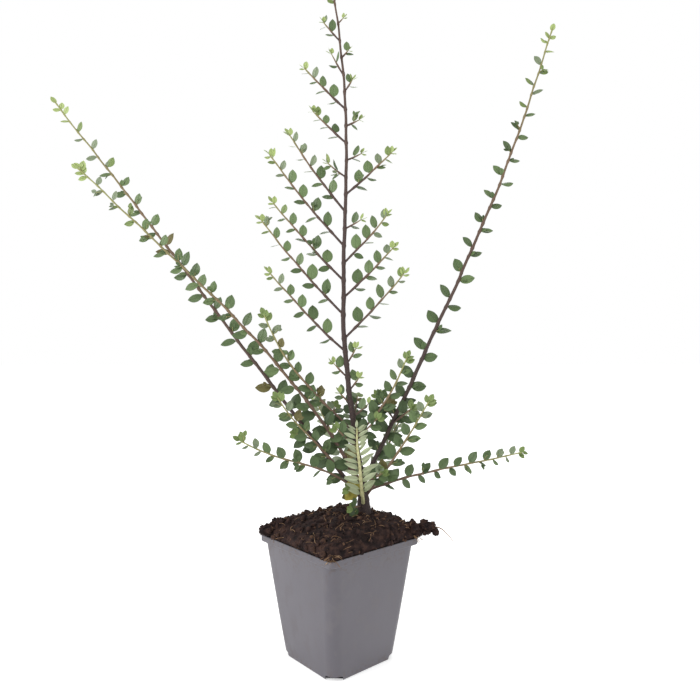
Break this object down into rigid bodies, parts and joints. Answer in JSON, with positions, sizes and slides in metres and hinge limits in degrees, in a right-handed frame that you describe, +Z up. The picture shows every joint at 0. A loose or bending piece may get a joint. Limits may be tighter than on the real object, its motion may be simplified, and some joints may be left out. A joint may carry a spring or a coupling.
{
  "type": "potted cotoneaster",
  "caption": "Young cotoneaster in a square nursery pot: upright central stem with herringbone side shoots, long arching leafy stems and small oval leaves.",
  "frame": {"origin": "middle of the pot's flat underside", "axes": "+Z up along the plant, +X to the right of its broad side, -Y towards the viewer of that side"},
  "size_m": [0.422, 0.1624, 0.5509],
  "materials": {
    "pot": "matt grey plastic with a soft sheen",
    "peat": "dark fibrous peat",
    "bark": "smooth dark purple-brown bark",
    "foliage": "semi-matt dark green leaves with paler undersides"
  },
  "bodies": {
    "root": {"back_shoot_left": "foliage", "back_shoot_right": "foliage", "bough_left_inner": "bark", "bough_left_outer": "bark", "bough_right": "bark", "front_shoot": "foliage", "leafy_stem_left_inner": "foliage", "leafy_stem_left_outer": "foliage", "leafy_stem_right": "foliage", "leafy_tip_central": "foliage", "low_shoot_left": "foliage", "low_shoot_right": "foliage", "lower_shoot_right": "foliage", "peat": "peat", "pot": "pot", "short_shoot_left": "foliage", "side_shoot_left_01": "foliage", "side_shoot_left_02": "foliage", "side_shoot_left_03": "foliage", "side_shoot_left_04": "foliage", "side_shoot_left_05": "foliage", "side_shoot_left_06": "foliage", "side_shoot_left_07": "foliage", "side_shoot_left_08": "foliage", "side_shoot_left_09": "foliage", "side_shoot_left_10": "foliage", "side_shoot_left_11": "foliage", "side_shoot_left_12": "foliage", "side_shoot_right_01": "foliage", "side_shoot_right_02": "foliage", "side_shoot_right_03": "foliage", "side_shoot_right_04": "foliage", "side_shoot_right_05": "foliage", "side_shoot_right_06": "foliage", "side_shoot_right_07": "foliage", "side_shoot_right_08": "foliage", "side_shoot_right_09": "foliage", "side_shoot_right_10": "foliage", "side_shoot_right_11": "foliage", "side_shoot_right_12": "foliage", "side_shoot_right_13": "foliage", "spur_01": "foliage", "spur_02": "foliage", "spur_03": "foliage", "spur_04": "foliage", "spur_05": "foliage", "spur_06": "foliage", "spur_07": "foliage", "spur_08": "foliage", "spur_09": "foliage", "spur_10": "foliage", "spur_11": "foliage", "spur_12": "foliage", "stem_central": "bark", "stump": "bark", "third_shoot_left": "foliage", "upper_shoot_right": "foliage"}
  },
  "joints": []
}
